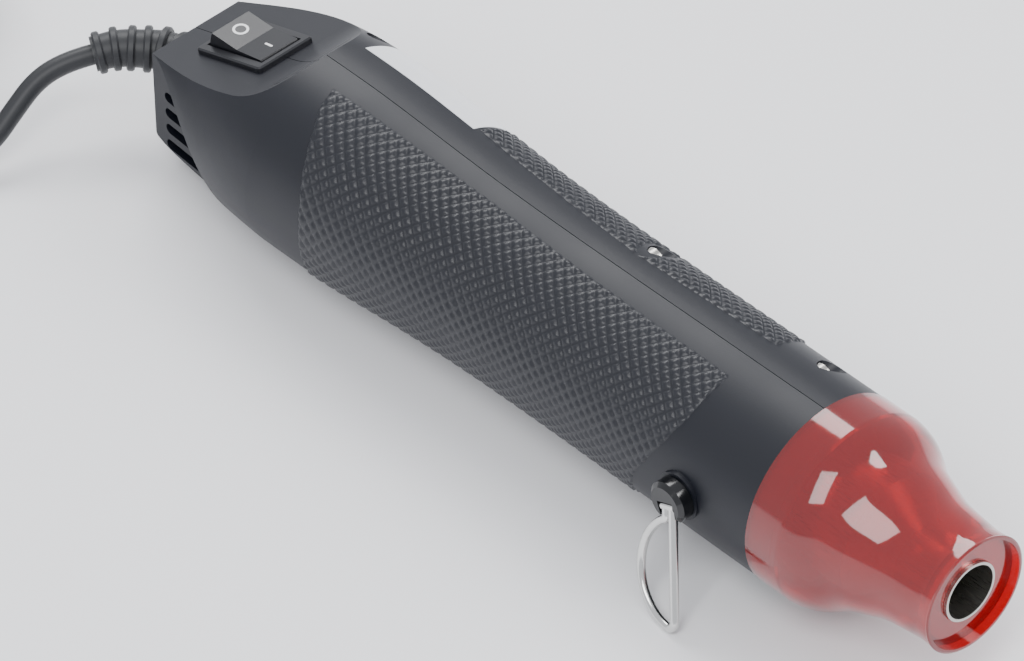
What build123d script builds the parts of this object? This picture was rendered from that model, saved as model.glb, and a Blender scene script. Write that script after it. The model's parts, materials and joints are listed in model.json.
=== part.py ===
from build123d import *
import os
from math import cos, pi, radians, sin, sqrt, tan

# Embossing heat tool: a slim hot-air pen with a red see-through nozzle cover, a two-half casing,
# a rocker switch on a sloping deck, side air vents, a swivelling wire stand and a mains lead.
# X runs forward along the air stream, Y to the stand side, Z up to the switch side.
# The origin is the centre of the air outlet's mouth.

os.makedirs("parts", exist_ok=True)

# common values
overrun = 60.0              # how far cutting tools run past the work
fit_gap = 0.1               # gap between fixed pieces that slip together
run_gap = 0.05              # radial clearance of a turning shaft
move_gap = 0.35             # air between pieces that move past each other
seam_gap = 0.08             # half of the parting line between the casing halves
lap = 0.4                   # how far a fused rib or post sinks into its wall

# casing, measured back from the outlet mouth
casing_front = 40.8
barrel_length = 145.0
tail_length = 42.0
wall = 2.0
front_r = 21.7
waist_r = 21.5
bulge_r = 24.1
waist_share = 0.40
swell_share = 0.71
full_share = 0.94
swell_r_share = 0.35
tail_front = casing_front + barrel_length
tail_back = tail_front + tail_length

# tail end section
tail_half = 12.1
tail_bottom = 19.3
tail_corner = 4.6
tail_bow = 0.35
tail_blend = 5.0
tail_blend_sink = 0.25
deck_edge_angle = 29.0
side_edge_angle = 128.0
floor_edge_angle = 152.0

# sloping switch deck
deck_rear_z = 6.3
deck_slope = 18.0
deck_flat = 30.5
deck_sweep = 11.6
deck_sweep_rise = 8.6

# side recess with air slots
recess_taper = 3.6
recess_back = 0.6
recess_half_length = 30.6
recess_half_height = 25.0
recess_drop = 18.4
slot_count = 5
slot_pitch = 4.3
slot_width = 2.5
slot_top = 1.6
slot_rear = 3.8
slot_top_step = 6.2
slot_front_land = 2.4

# nozzle cover
rim_lead = 1.2
collar_r = 21.9
collar_length = 8.2
cover_wall = 1.7
lip_wall = 0.95
rim_r = 13.35
face_recess = 2.0
face_thick = 1.5
face_round = 0.4
shoulder_shares = (0.0, 0.14, 0.283, 0.425, 0.566, 0.708, 0.848, 0.985)
neck_r_shares = (1.0, 0.85, 0.5, 0.285, 0.105, 0.02, -0.035, -0.012)
spigot_length = 6.0
spigot_wall = 2.3

# hot end
outlet_r = 6.75
outlet_wall = 0.6
outlet_length = 14.0
cone_length = 8.0
skirt_length = 9.0
sheet_wall = 0.5
barrel_r = 13.0
barrel_front = 23.0
barrel_tube_length = 58.0
sleeve_r = 12.4
sleeve_wall = 0.4
sleeve_start = 28.6
sleeve_span = 46.4
disc_thick = 0.8
disc_hole_r = 2.7
disc_hole_pitch_r = 6.4
cross_r = 8.6
cross_thick = 0.5
coil_wire_r = 0.35
coil_gap = 0.15
coil_pitch = 5.0
coil_turns = 7.5
coil_lead_in = 2.5
fuse_r = 1.5
fuse_length = 9.0
fuse_back = 66.0
bush_back = 43.5
bush_length = 4.5
holder_back = 75.5
holder_length = 6.0
rib_thick = 1.6
rib_inner_r = 17.4

# casing screws: driven from the right side into posts of the left half
post_r = 3.5
post_z = 17.0
post_backs = (52.0, 100.0, 188.5)
screw_head_seat = 9.0
screw_head_r = 2.3
screw_head_h = 1.8
screw_r = 1.25
screw_reach = 7.5
screw_socket = 0.9
head_gap = 0.25

# fan, motor and rectifier
shroud_back = 142.0
shroud_length = 20.0
shroud_inner_r = 16.2
shroud_wall = 1.0
shroud_plate = 2.0
shroud_hub_r = 8.0
spoke_width = 4.0
lug_width = 5.0
lug_length = 4.0
fan_r = 15.4
fan_hub_r = 5.6
fan_length = 11.0
fan_back = 137.5
fan_blades = 7
blade_thick = 1.1
blade_pitch_angle = 38.0
shaft_r = 1.0
shaft_front = 125.0
shaft_back = 174.6
can_r = 13.8
can_length = 30.0
can_wall = 1.0
magnet_wall = 1.7
magnet_length = 22.0
magnet_half_angle = 66.0
armature_r = 10.4
armature_length = 20.0
armature_slots = 3
armature_slot_width = 2.2
armature_slot_depth = 5.0
bell_length = 4.0
bell_boss_r = 3.2
bell_boss_length = 1.6
board_r = 12.6
board_thick = 1.6
board_gap = 2.4
board_pin_r = 0.8
board_pin_pitch_r = 9.0
diode_r = 1.35
diode_length = 5.0
diode_pitch_r = 7.4
motor_web_width = 5.0

# rocker switch
switch_along = 19.1
bezel_length = 21.0
bezel_width = 15.0
bezel_thick = 1.3
bezel_round = 0.9
opening_width = 11.0
housing_width = 12.9
housing_depth = 9.0
housing_floor = 1.0
cut_gap = 0.15
rocker_width = 10.2
rocker_r = 8.75
rocker_sink = 2.6
rocker_crown = 0.9
rocker_vee = 6.0
rocker_depth = 3.4
rocker_throw = 11.0
rocker_pin_r = 1.0
rocker_pin_length = 0.75
terminal_thick = 0.8
terminal_width = 4.8
terminal_length = 6.5
terminal_hole_r = 0.8
terminal_places = (0.6, 6.2)

# wire stand
boss_back = 59.6
pad_r = 5.4
pad_face = 22.15
pad_inner = 19.2
boss_seat_gap = 0.1
boss_r = 4.75
boss_base = 0.95
boss_face = 25.75
boss_round = 0.9
spindle_r = 2.2
hinge_out = 24.65
hinge_drop = 1.0
stand_swivel = 22.0
stand_tilt = 19.0
wire_r = 0.95
wire_gap = 0.4
ring_pin_r = 0.8
ring_pin_length = 7.0
ear_drop = 1.8
roof_rise = 1.45
hub_r = 1.02
leg_gap = 0.1
bow_r = 11.75
bow_across = 2.55
bow_along = 13.8
corner_r = 1.6
root_r = 1.2
washer_r = 3.7
washer_thick = 0.6
washer_gap = 0.05
stand_screw_r = 1.1
stand_screw_reach = 3.4
stand_screw_head_r = 2.1
stand_screw_head_h = 1.3

# rating label, blank
label_back = 150.5
label_length = 33.0
label_from = 20.0
label_to = 84.0
label_thick = 0.12
label_gap = 0.02

# strain relief and lead
lead_z = -5.0
lead_r = 2.25
relief_neck_r = 3.9
relief_flange_r = 5.6
relief_flange = 1.3
relief_core_r = 4.5
relief_tip_r = 3.8
rib_r = 5.45
rib_tip_r = 4.6
relief_ribs = 7
relief_rib = 1.7
relief_rib_round = 0.35
relief_first = 2.4
relief_pitch = 3.45
relief_bend_r = 9.0
relief_tip_bend_r = 16.0
inner_lead_length = 17.0
# routes are counted from the lead entry in the rear wall, the tail's from the coil's end
relief_route = [(0, 0, 0), (-8.2, 0, 0), (-16.1, 7.9, 0.6), (-18.9, 12.6, -0.2)]
run_route = [(-18.9, 12.6, -0.2), (-21.7, 17.3, -1.0), (-24.1, 24.0, -3.6), (-23.6, 31.2, -7.8),
             (-22.9, 38.0, -11.9), (-25.2, 45.0, -14.9), (-30.9, 51.3, -15.9), (-39.2, 55.5, -15.9),
             (-49.7, 57.5, -15.9), (-61.2, 57.6, -15.9), (-72.2, 57.0, -15.9), (-82.2, 57.0, -15.9)]
coil_outer = 29.8
coil_step = 5.15
coil_rise = 5.1
coil_layers = 4
coil_layer_turns = 1.75
coil_climb_turns = 0.5
coil_end_run = 4.5
tail_route = [(0, 0, 0), (5.3, 0, 0), (13.1, 1.8, 1.5), (18.7, 7.1, 4.1), (20.6, 14.2, 7.6),
              (18.2, 21.7, 10.6), (12.8, 27.9, 10.8), (4.3, 30.7, 10.8), (-1, 30.7, 10.8)]
clamp_back = 222.6
clamp_length = 4.6
clamp_half = 8.0
clamp_thick = 1.6
clamp_bite = 0.05
clamp_screw_y = 5.4
clamp_screw_r = 1.0
clamp_screw_reach = 5.0
clamp_head_r = 1.9
clamp_head_h = 1.2
tie_width = 5.0
tie_thick = 0.5
tie_gap = 0.4
plug_length = 22.0
plug_width = 23.0
plug_thick = 16.4
plug_taper = 11.0
plug_neck_r = 3.6
plug_round = 3.0
blade_gauge = 1.5
blade_height = 6.35
blade_reach = 16.5
blade_spacing = 12.7
blade_root = 3.0
blade_hole_r = 1.6
blade_hole_in = 3.2

# heater leads inside the casing
wire_lead_r = 0.75
heater_lead_z = 4.2
heater_lead_r = 18.15
heater_lead_in = 5.2
switch_lead_r = 0.75


def along_x(back):
    """A plane across the tool, this far back from the outlet mouth."""
    return Plane.YZ.offset(-back)


def ring_part(back, length, outer, inner):
    """A plain ring around the axis that starts `back` behind the mouth and runs `length` rearward."""
    with BuildPart() as ring:
        with BuildSketch(along_x(back + length)):
            Circle(outer)
            if inner > 0:
                Circle(inner, mode=Mode.SUBTRACT)
        extrude(amount=length)
    return ring.part


def barrel_curve(inset):
    """The casing's radius along its length, as points of one smooth line."""
    swell_r = waist_r + swell_r_share * (bulge_r - waist_r)
    return [(-casing_front, front_r - inset),
            (-casing_front - waist_share * barrel_length, waist_r - inset),
            (-casing_front - swell_share * barrel_length, swell_r - inset),
            (-casing_front - full_share * barrel_length, bulge_r - inset)]


def tail_ring(back, radius):
    """A round tail section in the same six edges as the end section."""
    def at(angle, side):
        return (side * radius * sin(radians(angle)), radius * cos(radians(angle)))
    middle = (deck_edge_angle + side_edge_angle) / 2
    corner = (side_edge_angle + floor_edge_angle) / 2
    with BuildSketch(along_x(back)) as section:
        with BuildLine():
            ThreePointArc(at(deck_edge_angle, -1), (0, radius), at(deck_edge_angle, 1))
            ThreePointArc(at(deck_edge_angle, 1), at(middle, 1), at(side_edge_angle, 1))
            ThreePointArc(at(side_edge_angle, 1), at(corner, 1), at(floor_edge_angle, 1))
            ThreePointArc(at(floor_edge_angle, 1), (0, -radius), at(floor_edge_angle, -1))
            ThreePointArc(at(floor_edge_angle, -1), at(corner, -1), at(side_edge_angle, -1))
            ThreePointArc(at(side_edge_angle, -1), at(middle, -1), at(deck_edge_angle, -1))
        make_face()
    return section.sketch


def tail_end(back, inset):
    """The tail's rear section: a rounded rectangle with its top edge along the deck."""
    half, top, low = tail_half - inset, deck_rear_z - inset, -tail_bottom + inset
    turn = tail_corner - inset / 2
    mid = turn * (1 - sqrt(0.5))
    with BuildSketch(along_x(back)) as section:
        with BuildLine():
            ThreePointArc((-half, top), (0, top + tail_bow), (half, top))
            ThreePointArc((half, top), (half + tail_bow, (top + low + turn) / 2), (half, low + turn))
            ThreePointArc((half, low + turn), (half - mid, low + mid), (half - turn, low))
            ThreePointArc((half - turn, low), (0, low - tail_bow), (-half + turn, low))
            ThreePointArc((-half + turn, low), (-half + mid, low + mid), (-half, low + turn))
            ThreePointArc((-half, low + turn), (-half - tail_bow, (top + low + turn) / 2), (-half, top))
        make_face()
    return section.sketch


def casing_form(inset, front, rear):
    """The casing's outer form, or the same form inset by the wall."""
    with BuildPart() as form:
        with BuildSketch(Plane.XZ):
            with BuildLine():
                points = barrel_curve(inset)
                Spline(points, tangents=[(-1, 0), (-1, 0)])
                Line(points[-1], (-tail_front, bulge_r - inset))
                Line((-tail_front, bulge_r - inset), (-tail_front, 0))
                Line((-tail_front, 0), (-casing_front, 0))
                Line((-casing_front, 0), points[0])
            make_face()
        revolve(axis=Axis.X)
        if front > 0:
            with BuildSketch(along_x(casing_front)):
                Circle(front_r - inset)
            extrude(amount=front)
        first = tail_ring(tail_front, bulge_r - inset)
        second = tail_ring(tail_front + tail_blend, bulge_r - tail_blend_sink - inset)
        last = tail_end(rear, inset)
        loft(sections=[first, second, last])
    return form.part


def deck_region(grow):
    """Everything above the sloping deck, grown downward for the inner face."""
    slope = tan(radians(deck_slope))
    run, flat_z = deck_flat, deck_rear_z + deck_flat * slope
    reach = overrun / 2
    with BuildPart() as region:
        with BuildSketch(Plane.XZ.offset(-overrun)) as side:
            with BuildLine():
                start = (-tail_back - reach, deck_rear_z - reach * slope)
                knee = (-tail_back + run, flat_z)
                end = (knee[0] + deck_sweep, knee[1] + deck_sweep_rise)
                Line(start, knee)
                TangentArc(knee, end, tangent=(cos(radians(deck_slope)), sin(radians(deck_slope))))
                Line(end, (end[0], end[1] + reach))
                Line((end[0], end[1] + reach), (start[0], end[1] + reach))
                Line((start[0], end[1] + reach), start)
            make_face()
            if grow > 0:
                offset(amount=grow, kind=Kind.INTERSECTION)
        extrude(amount=2 * overrun)
    return region.part


def recess_plane(side, depth):
    """The flat of a side recess: +X of it runs forward, and it faces outward."""
    t = radians(recess_taper)
    return Plane(origin=(-tail_back, side * (tail_half - depth), 0), x_dir=(cos(t), side * sin(t), 0),
                 z_dir=(-sin(t), side * cos(t), 0))


def recess_region(side, grow):
    """The quarter-oval bite that each side vent sits in."""
    with BuildPart() as region:
        plane = recess_plane(side, grow)
        # the plane's own Y runs down on one side and up on the other
        up = 1 if plane.y_dir.Z > 0 else -1
        with BuildSketch(plane):
            with Locations((-recess_back, -up * recess_drop)):
                Ellipse(recess_half_length + grow, recess_half_height + grow)
        extrude(amount=overrun)
    return region.part


def slot_cutters(side):
    """The five air slots of one side."""
    plane = recess_plane(side, wall / 2)
    up = 1 if plane.y_dir.Z > 0 else -1
    with BuildPart() as cutters:
        with BuildSketch(plane.offset(-2 * wall)):
            for n in range(slot_count):
                z = slot_top - n * slot_pitch
                rear = slot_rear + (slot_top_step if n == 0 else 0)
                rise = (z + recess_drop + slot_width / 2) / recess_half_height
                reach = recess_half_length * sqrt(max(1 - rise * rise, 0))
                front = -recess_back + reach - slot_front_land
                if n == slot_count - 1:
                    front = front - 2 * slot_front_land
                with Locations(((rear + front) / 2, up * z)):
                    SlotOverall(front - rear, slot_width)
        extrude(amount=4 * wall)
    return cutters.part


deck_tan = tan(radians(deck_slope))
deck_x = -tail_back + switch_along
deck_z = deck_rear_z + switch_along * deck_tan
deck_plane = Plane(origin=(deck_x, 0, deck_z), x_dir=(cos(radians(deck_slope)), 0, sin(radians(deck_slope))),
                   z_dir=(-sin(radians(deck_slope)), 0, cos(radians(deck_slope))))

# casing: both halves as one hollow form, then split on the middle plane
with BuildPart() as hollow:
    add(casing_form(wall, 0, tail_back - wall))
    add(deck_region(wall), mode=Mode.SUBTRACT)
    add(recess_region(1, wall), mode=Mode.SUBTRACT)
    add(recess_region(-1, wall), mode=Mode.SUBTRACT)

with BuildPart() as posts:
    for back in post_backs:
        for z in (-post_z, post_z):
            with BuildSketch(Plane.XZ.offset(-overrun / 2)):
                with Locations((-back, z)):
                    Circle(post_r)
            extrude(amount=overrun)
    # seats for the heater holder and the motor
    for back in (holder_back - rib_thick - fit_gap, holder_back + holder_length + fit_gap):
        add(ring_part(back, rib_thick, waist_r, rib_inner_r))
    # four webs that hold the motor's rear end
    with BuildSketch(along_x(shroud_back + can_length)):
        for angle in (45, 135):
            with Locations(Rotation(0, 0, angle)):
                Rectangle(2 * bulge_r, motor_web_width)
        Circle(can_r + fit_gap, mode=Mode.SUBTRACT)
    extrude(amount=rib_thick)
    # floor block under the lead clamp
    with BuildSketch(along_x(clamp_back)):
        with Locations((0, lead_z / 2 - tail_bottom / 2)):
            Rectangle(2 * clamp_half, tail_bottom + lead_z)
    extrude(amount=clamp_length)
    add(casing_form(wall - lap, 0, tail_back - wall + lap), mode=Mode.INTERSECT)

with BuildPart() as casing:
    add(casing_form(0, 0, tail_back))
    # spigot that carries the nozzle cover
    with BuildSketch(along_x(casing_front + spigot_length)):
        Circle(front_r - cover_wall - fit_gap)
    extrude(amount=2 * spigot_length)
    add(deck_region(0), mode=Mode.SUBTRACT)
    add(recess_region(1, 0), mode=Mode.SUBTRACT)
    add(recess_region(-1, 0), mode=Mode.SUBTRACT)
    add(hollow.part, mode=Mode.SUBTRACT)
    with BuildSketch(along_x(casing_front + 2 * spigot_length)):
        Circle(front_r - cover_wall - fit_gap - spigot_wall)
    extrude(amount=4 * spigot_length, mode=Mode.SUBTRACT)
    add(posts.part)
    # pad that the stand boss turns on
    with BuildSketch(Plane.XZ.offset(-pad_inner)):
        with Locations((-boss_back, 0)):
            Circle(pad_r)
    extrude(amount=-(pad_face - pad_inner))
    with BuildSketch(Plane.XZ.offset(-pad_inner + wall)):
        with Locations((-boss_back, 0)):
            Circle(spindle_r + run_gap)
    extrude(amount=-overrun, mode=Mode.SUBTRACT)
    add(slot_cutters(1), mode=Mode.SUBTRACT)
    add(slot_cutters(-1), mode=Mode.SUBTRACT)
    # switch cut-out in the deck
    with BuildSketch(deck_plane.offset(-housing_depth)):
        Rectangle(bezel_length - 2 * bezel_round + 2 * cut_gap, housing_width + 2 * cut_gap)
    extrude(amount=2 * housing_depth, mode=Mode.SUBTRACT)
    # lead entry
    with BuildSketch(along_x(tail_back + wall)):
        with Locations((0, lead_z)):
            Circle(relief_neck_r + fit_gap)
    extrude(amount=3 * wall, mode=Mode.SUBTRACT)
    # cradle for the lead on the clamp block
    with BuildSketch(along_x(clamp_back + fit_gap)):
        with Locations((0, lead_z)):
            Circle(lead_r)
    extrude(amount=clamp_length + 2 * fit_gap, mode=Mode.SUBTRACT)
    # clamp screw holes
    with BuildSketch(Plane.XY.offset(lead_z + lead_r)):
        with Locations(*[(-clamp_back + clamp_length / 2, s * clamp_screw_y) for s in (-1, 1)]):
            Circle(clamp_screw_r + fit_gap / 2)
    extrude(amount=-clamp_screw_reach - lead_r, mode=Mode.SUBTRACT)
    # casing screw holes, with deep head recesses on the right side
    for back in post_backs:
        for z in (-post_z, post_z):
            with BuildSketch(Plane.XZ.offset(screw_head_seat)):
                with Locations((-back, z)):
                    Circle(screw_head_r + head_gap)
            extrude(amount=overrun, mode=Mode.SUBTRACT)
            with BuildSketch(Plane.XZ.offset(screw_head_seat + lap)):
                with Locations((-back, z)):
                    Circle(screw_r + fit_gap / 2)
            extrude(amount=-(screw_head_seat + lap + screw_reach + lap), mode=Mode.SUBTRACT)

with BuildPart() as left_shell:
    add(casing.part)
    split(bisect_by=Plane.XZ.offset(-seam_gap), keep=Keep.BOTTOM)
with BuildPart() as right_shell:
    add(casing.part)
    split(bisect_by=Plane.XZ.offset(seam_gap), keep=Keep.TOP)

# nozzle cover: collar, shoulder, waisted neck and a recessed front face
neck_length = casing_front + rim_lead - collar_length


def neck_points(inset):
    back = -casing_front + collar_length
    return [(back + s * neck_length, rim_r + f * (collar_r - rim_r) - inset)
            for s, f in zip(shoulder_shares, neck_r_shares)]


with BuildPart() as nozzle_cover:
    with BuildSketch(Plane.XZ):
        with BuildLine():
            outer = neck_points(0)
            Spline(outer, tangents=[(1, -0.12), (1, 0.1)])
            Line(outer[-1], (rim_lead - face_round / 2, rim_r))
            Line((rim_lead - face_round / 2, rim_r), (rim_lead, rim_r - face_round))
            Line((rim_lead, rim_r - face_round), (rim_lead, 0))
            Line((rim_lead, 0), (-casing_front, 0))
            Line((-casing_front, 0), (-casing_front, collar_r))
            Line((-casing_front, collar_r), outer[0])
        make_face()
    revolve(axis=Axis.X)
    # inside of neck and shoulder
    with BuildSketch(Plane.XZ):
        with BuildLine():
            inner = neck_points(cover_wall)
            stop = -face_recess - face_thick + rim_lead
            keep = [p for p in inner if p[0] < stop - lip_wall]
            Spline(keep, tangents=[(1, -0.12), (1, 0)])
            Line(keep[-1], (stop, keep[-1][1]))
            Line((stop, keep[-1][1]), (stop, 0))
            Line((stop, 0), (keep[0][0], 0))
            Line((keep[0][0], 0), keep[0])
        make_face()
    revolve(axis=Axis.X, mode=Mode.SUBTRACT)
    # collar bore over the casing's spigot
    with BuildSketch(along_x(casing_front)):
        Circle(front_r - cover_wall)
    extrude(amount=collar_length, mode=Mode.SUBTRACT)
    # recessed front face and the opening round the outlet tube
    with BuildSketch(along_x(face_recess - rim_lead)):
        Circle(rim_r - lip_wall)
    extrude(amount=face_recess, mode=Mode.SUBTRACT)
    with BuildSketch(along_x(2 * face_thick + face_recess)):
        Circle(outlet_r + fit_gap)
    extrude(amount=overrun, mode=Mode.SUBTRACT)

# outlet tube: straight mouth, cone and a skirt over the heater barrel
with BuildPart() as outlet_tube:
    with BuildSketch(Plane.XZ):
        with BuildLine():
            Polyline((0, outlet_r), (-outlet_length, outlet_r),
                     (-outlet_length - cone_length, barrel_r + fit_gap + outlet_wall),
                     (-outlet_length - cone_length - skirt_length, barrel_r + fit_gap + outlet_wall),
                     (-outlet_length - cone_length - skirt_length, barrel_r + fit_gap),
                     (-outlet_length - cone_length, barrel_r + fit_gap),
                     (-outlet_length, outlet_r - outlet_wall), (0, outlet_r - outlet_wall), close=True)
        make_face()
    revolve(axis=Axis.X)

heater_barrel = ring_part(barrel_front, barrel_tube_length, barrel_r, barrel_r - sheet_wall)
mica_sleeve = ring_part(sleeve_start, sleeve_span, sleeve_r, sleeve_r - sleeve_wall)

# crossed mica plates that carry the heating coil
cross_start = sleeve_start + disc_thick
cross_length = sleeve_span - 2 * disc_thick
with BuildPart() as mica_cross:
    with BuildSketch(along_x(cross_start + cross_length)):
        Rectangle(2 * cross_r, cross_thick)
        Rectangle(cross_thick, 2 * cross_r)
    extrude(amount=cross_length)

with BuildPart() as mica_discs:
    for back in (sleeve_start + disc_thick, sleeve_start + sleeve_span):
        with BuildSketch(along_x(back)):
            Circle(sleeve_r - sleeve_wall - run_gap)
            with PolarLocations(disc_hole_pitch_r, 4, start_angle=45):
                Circle(disc_hole_r, mode=Mode.SUBTRACT)
        extrude(amount=disc_thick)

with BuildPart() as front_bush:
    add(ring_part(bush_back, bush_length, front_r - cover_wall - fit_gap - spigot_wall - fit_gap,
                  barrel_r + fit_gap))
with BuildPart() as heater_holder:
    add(ring_part(holder_back, holder_length, waist_r - wall - fit_gap, barrel_r + fit_gap))

with BuildPart() as thermal_fuse:
    seat = cross_thick / 2 + fuse_r + run_gap
    with BuildSketch(along_x(fuse_back)):
        with Locations((seat, seat)):
            Circle(fuse_r)
    extrude(amount=fuse_length)


def biarc(p0, t0, p1, t1):
    """Two tangent arcs from p0 along t0 to p1 along t1, as (start, middle, end) triples."""
    v, t = p1 - p0, t0 + t1
    a, b, c = 2 * (1 - t0.dot(t1)), v.dot(t), v.dot(v)
    d = (sqrt(b * b + a * c) - b) / a if a > 1e-9 else c / (4 * v.dot(t1))
    q0, q1 = p0 + t0 * d, p1 - t1 * d
    joint = (q0 + q1) * 0.5

    def arc(start, corner, end):
        half = (end - start) * 0.5
        rise = corner - (start + half)
        h, r = half.length, rise.length
        if r < 1e-9:
            return (start, start + half, end)
        # the arc's sagitta from the chord's half length and the tangent's slope
        sag = h * (sqrt(h * h + r * r) - h) / r
        return (start, start + half + rise * (sag / r), end)
    return [arc(p0, q0, joint), arc(joint, q1, p1)]


def arc_path(points, tangents):
    """A smooth wire of arcs through points with the given directions."""
    edges = []
    for i in range(len(points) - 1):
        for s, m, e in biarc(points[i], tangents[i], points[i + 1], tangents[i + 1]):
            edges.append(Edge.make_three_point_arc(s, m, e))
    return edges


# heating coil wound round the mica cross
wind_r = cross_r + coil_gap + coil_wire_r
wind_start = cross_start + coil_lead_in


def wind(turn):
    a = 2 * pi * turn
    return Vector(-wind_start - coil_pitch * turn, wind_r * cos(a), wind_r * sin(a))


def wind_dir(turn):
    a = 2 * pi * turn
    return Vector(-coil_pitch / (2 * pi), -wind_r * sin(a), wind_r * cos(a)).normalized()


quarter_turns = [n / 4 for n in range(int(4 * coil_turns) + 1)]
with BuildPart() as heating_coil:
    with BuildLine() as wind_line:
        add(arc_path([wind(q) for q in quarter_turns], [wind_dir(q) for q in quarter_turns]))
    with BuildSketch(Plane(origin=wind(0), z_dir=wind_dir(0))):
        Circle(coil_wire_r)
    sweep(path=wind_line.wire())

# fan shroud: a ring, three spokes and a plate that the motor bolts to
with BuildPart() as fan_shroud:
    add(ring_part(shroud_back - shroud_length, shroud_length, shroud_inner_r + shroud_wall, shroud_inner_r))
    with BuildSketch(along_x(shroud_back)):
        Circle(shroud_hub_r)
        for n in range(3):
            with Locations(Rotation(0, 0, 90 + 120 * n)):
                with Locations(((shroud_inner_r + lap) / 2, 0)):
                    Rectangle(shroud_inner_r + lap, spoke_width)
        Circle(shaft_r + move_gap + shaft_r, mode=Mode.SUBTRACT)
    extrude(amount=shroud_plate)
    lug_r = waist_r - wall - fit_gap
    with BuildSketch(along_x(shroud_back)):
        for n in range(3):
            with Locations(Rotation(0, 0, 90 + 120 * n)):
                with Locations(((shroud_inner_r + shroud_wall / 2 + lug_r) / 2, 0)):
                    Rectangle(lug_r - shroud_inner_r - shroud_wall / 2, lug_width)
    extrude(amount=lug_length)

with BuildPart() as motor_can:
    can_back = shroud_back + can_length
    add(ring_part(shroud_back, can_length, can_r, can_r - can_wall))
    add(ring_part(shroud_back, can_wall, can_r, shaft_r + run_gap))

with BuildPart() as motor_magnets:
    magnet_r = can_r - can_wall - run_gap
    magnet_start = shroud_back + (can_length - magnet_length) / 2
    add(ring_part(magnet_start, magnet_length, magnet_r, magnet_r - magnet_wall))
    gap_half = magnet_r * cos(radians(magnet_half_angle))
    with BuildSketch(along_x(magnet_start + magnet_length)):
        Rectangle(2 * gap_half, 4 * can_r)
    extrude(amount=magnet_length, mode=Mode.SUBTRACT)

with BuildPart() as motor_armature:
    with BuildSketch(along_x(shroud_back + (can_length + armature_length) / 2)):
        Circle(armature_r)
        with PolarLocations(armature_r - armature_slot_depth / 2, armature_slots):
            Rectangle(armature_slot_depth + lap, armature_slot_width, mode=Mode.SUBTRACT)
        Circle(shaft_r + run_gap / 2, mode=Mode.SUBTRACT)
    extrude(amount=armature_length)

with BuildPart() as motor_end_bell:
    add(ring_part(can_back, bell_length - can_wall, can_r, shaft_r + run_gap))
    add(ring_part(can_back + bell_length - can_wall, bell_boss_length, bell_boss_r, shaft_r + run_gap))

with BuildPart() as motor_shaft:
    add(ring_part(shaft_front, shaft_back - shaft_front, shaft_r, 0))

with BuildPart() as fan_wheel:
    add(ring_part(fan_back - fan_length, fan_length, fan_hub_r, 0))
    for n in range(fan_blades):
        with BuildSketch(Plane.XY.offset(fan_hub_r / 2).rotated((360 / fan_blades * n, 0, 0))):
            with Locations((-fan_back + fan_length / 2, 0)):
                Rectangle(fan_length, blade_thick, rotation=blade_pitch_angle)
        extrude(amount=fan_r)
    with BuildSketch(along_x(fan_back)):
        Circle(fan_r)
    extrude(amount=fan_length, mode=Mode.INTERSECT)
    add(ring_part(fan_back - 2 * fan_length, 3 * fan_length, shaft_r + run_gap / 2, 0), mode=Mode.SUBTRACT)

# rectifier board on pins behind the motor
board_back = can_back + bell_length - can_wall + board_gap
with BuildPart() as rectifier_board:
    add(ring_part(board_back, board_thick, board_r, bell_boss_r + move_gap))
    with BuildSketch(along_x(board_back + lap)):
        with PolarLocations(board_pin_pitch_r, 2, start_angle=90):
            Circle(board_pin_r)
    extrude(amount=board_gap + lap - run_gap)
with BuildPart() as rectifier_diodes:
    for side in (-1, 1):
        for n in (-1, 1):
            with BuildSketch(Plane.XZ.offset(-side * diode_pitch_r - diode_length / 2)):
                with Locations((-board_back - board_thick - diode_r - run_gap / 2, n * (diode_r + fuse_r))):
                    Circle(diode_r)
            extrude(amount=diode_length)

# rocker switch: housing with its bezel, rocker and two blade terminals
opening_length = 2 * (rocker_r + move_gap)
with BuildPart() as switch_housing:
    with BuildSketch(deck_plane):
        RectangleRounded(bezel_length, bezel_width, bezel_round)
    extrude(amount=bezel_thick)
    with BuildSketch(deck_plane):
        Rectangle(bezel_length - 2 * bezel_round, housing_width)
    extrude(amount=-housing_depth)
    chamfer(faces().sort_by(lambda f: deck_plane.to_local_coords(f.center()).Z)[-1].edges(), length=bezel_thick / 4)
    with BuildSketch(deck_plane.offset(-housing_depth + housing_floor)):
        Rectangle(opening_length, opening_width)
    extrude(amount=housing_depth + bezel_thick, mode=Mode.SUBTRACT)
    pivot_z = bezel_thick - rocker_sink
    with BuildSketch(Plane(origin=deck_plane.from_local_coords((0, -overrun / 2, pivot_z)),
                           x_dir=deck_plane.x_dir, z_dir=(0, 1, 0))):
        Circle(rocker_pin_r + run_gap)
    extrude(amount=overrun, mode=Mode.SUBTRACT)

pivot_at = deck_plane.from_local_coords((0, 0, bezel_thick - rocker_sink))
with BuildPart() as rocker:
    # side view about the pivot: two top faces in a shallow vee and ends that follow the swing
    a = radians(rocker_throw)
    side_plane = Plane(origin=pivot_at, x_dir=deck_plane.x_dir.rotate(Axis.Y, rocker_throw), z_dir=(0, -1, 0))
    with BuildSketch(side_plane.offset(-rocker_width / 2)):
        Circle(rocker_r)
        crown = rocker_sink + rocker_crown
        edge = crown + rocker_r * tan(radians(rocker_vee))
        with BuildLine():
            Polyline((-2 * rocker_r, -rocker_depth), (2 * rocker_r, -rocker_depth),
                     (2 * rocker_r, edge + rocker_r * tan(radians(rocker_vee))), (0, crown),
                     (-2 * rocker_r, edge + rocker_r * tan(radians(rocker_vee))), close=True)
        make_face(mode=Mode.INTERSECT)
    extrude(amount=rocker_width)
    with BuildSketch(side_plane.offset(-rocker_width / 2 - rocker_pin_length)):
        Circle(rocker_pin_r)
    extrude(amount=rocker_width + 2 * rocker_pin_length)

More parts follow.
